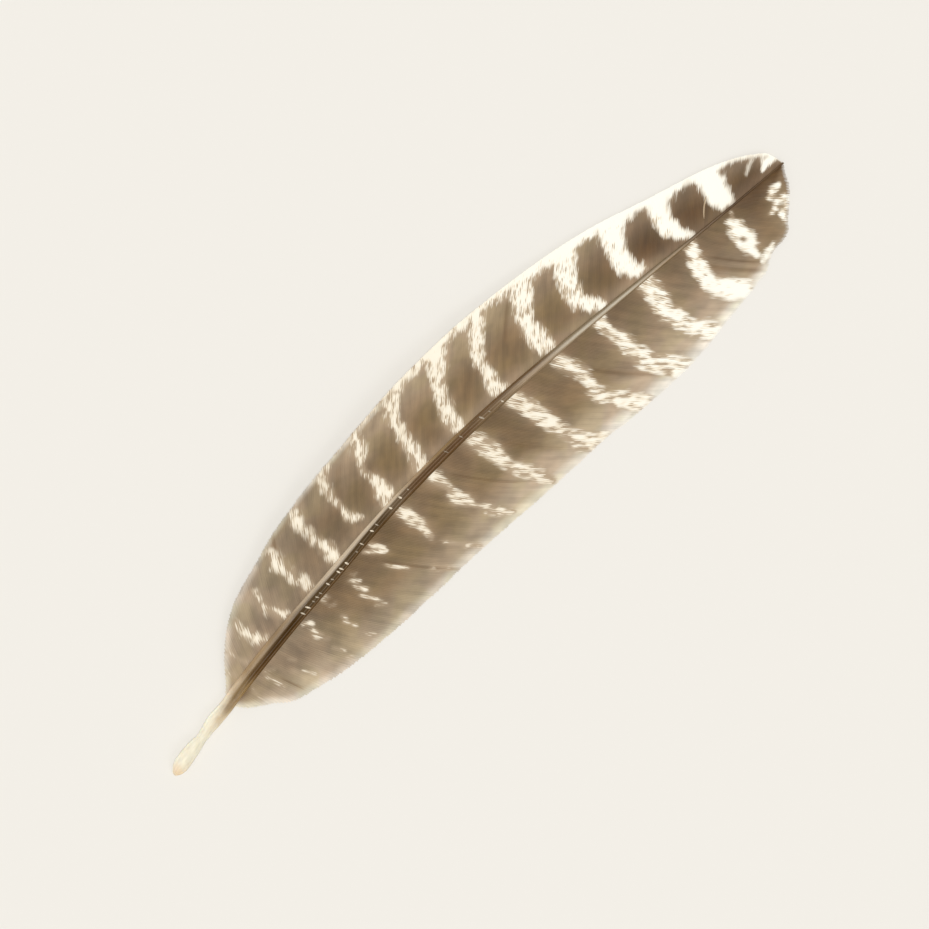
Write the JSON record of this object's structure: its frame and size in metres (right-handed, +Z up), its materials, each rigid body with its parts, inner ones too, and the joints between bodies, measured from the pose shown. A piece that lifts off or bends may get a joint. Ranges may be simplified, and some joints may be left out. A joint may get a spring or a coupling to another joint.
{
  "type": "pheasant feather",
  "caption": "Barred flight feather lying on its back: a short tapered quill, a curved shaft with a groove, and two closed, cambered vanes.",
  "frame": {"origin": "middle of the feather's outline in plan, on the surface that it lies on", "axes": "+X from the quill's tip to the feather's tip, +Y towards the vane that stands clear of the surface, +Z up, out of the grooved underside of the feather"},
  "size_m": [0.2, 0.0445, 0.0055],
  "materials": {
    "vane": "satin",
    "shaft": "satin"
  },
  "bodies": {
    "root": {"feather": "vane"}
  },
  "joints": []
}
